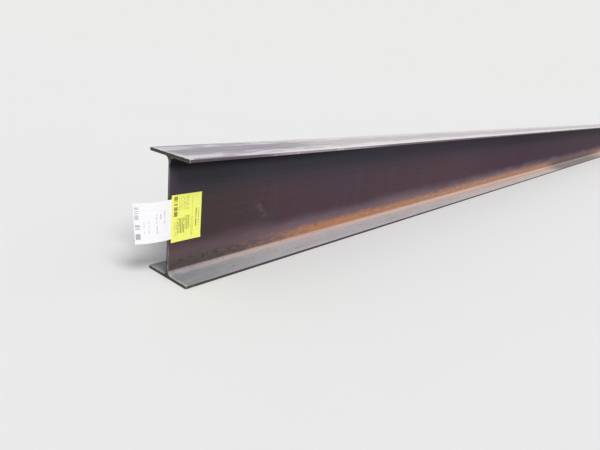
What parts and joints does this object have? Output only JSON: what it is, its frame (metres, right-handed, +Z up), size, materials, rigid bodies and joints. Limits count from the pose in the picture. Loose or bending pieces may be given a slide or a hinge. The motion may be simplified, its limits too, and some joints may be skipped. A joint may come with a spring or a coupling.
{
  "type": "steel i-beam",
  "caption": "Long straight hot-rolled steel I-beam with parallel flanges, rounded roots and square-cut ends, with a sticker and a card tag at one end.",
  "frame": {"origin": "middle of the length, on the underside of the bottom flange, in the web's plane", "axes": "+Z up across the depth, +X along the beam away from the labelled end, the labelled web face towards -Y"},
  "size_m": [12.075, 0.149, 0.298],
  "materials": {
    "rolled_steel": "dark hot-rolled mill scale with an orange rust band along the bottom root",
    "yellow_paper": "bright yellow printed sticker",
    "white_paper": "white printed card"
  },
  "bodies": {
    "root": {"beam": "rolled_steel", "yellow_label": "yellow_paper", "white_tag": "white_paper"}
  },
  "joints": []
}
